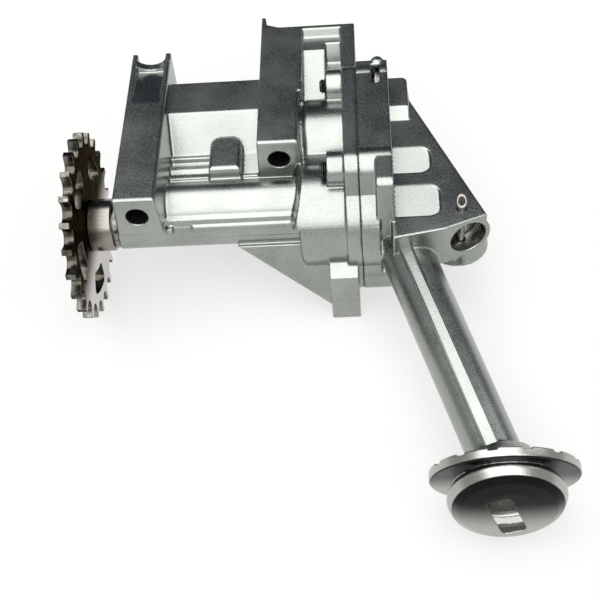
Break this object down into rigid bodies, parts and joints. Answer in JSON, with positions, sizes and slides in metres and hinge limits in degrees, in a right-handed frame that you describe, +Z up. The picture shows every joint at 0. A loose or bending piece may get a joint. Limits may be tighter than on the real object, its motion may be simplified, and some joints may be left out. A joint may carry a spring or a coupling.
{
  "type": "engine oil pump",
  "caption": "Chain-driven gear oil pump with a cast housing on bolt columns, a cover with relief valve, a slanting pickup tube and a bell strainer.",
  "frame": {"origin": "centre of the sprocket's hub side face, on the drive shaft's axis", "axes": "+X along the drive shaft from the sprocket to the cover, +Y towards the engine block seats, +Z up from the surface the pump lies on"},
  "size_m": [0.1861, 0.2218, 0.075],
  "materials": {
    "cast_aluminium": "fine cast, satin",
    "sprocket_steel": "dark oiled steel with worn tooth faces",
    "bright_steel": "turned or ground",
    "dark_steel": "black oxide",
    "spring_steel": "drawn wire",
    "strainer_steel": "pressed, oiled satin"
  },
  "bodies": {
    "pump_body": {"pump_housing": "cast_aluminium", "end_cover": "cast_aluminium", "cover_bolts": "dark_steel", "cover_dowels": "bright_steel", "driven_axle": "bright_steel", "thrust_washer": "dark_steel", "spring_cup": "bright_steel", "relief_spring": "spring_steel", "split_pin": "bright_steel", "strainer_bell": "strainer_steel", "strainer_gauze": "bright_steel"},
    "drive_rotor": {"drive_shaft": "bright_steel", "sprocket_plate": "sprocket_steel", "sprocket_hub": "bright_steel", "drive_gear": "bright_steel", "drive_gear_key": "bright_steel"},
    "driven_rotor": {"driven_gear": "bright_steel"},
    "relief_valve": {"relief_piston": "bright_steel"}
  },
  "joints": [
    {"name": "drive_spin", "type": "hinge", "parent": "pump_body", "child": "drive_rotor", "pos_m": [0, 0, 0], "axis": [1, 0, 0], "continuous": true},
    {"name": "driven_spin", "type": "hinge", "parent": "pump_body", "child": "driven_rotor", "pos_m": [0.1, 0.02769, 0.00414], "axis": [1, 0, 0], "continuous": true},
    {"name": "relief_slide", "type": "slide", "parent": "pump_body", "child": "relief_valve", "axis": [0.36, -0.933, 0], "range_m": [0, 0.007], "stiffness_N_per_m": 2500, "springref_m": -0.012, "deforming": ["relief_spring"]}
  ],
  "couplings": [
    {"joint": "driven_spin", "follows": "drive_spin", "ratio": -1}
  ]
}
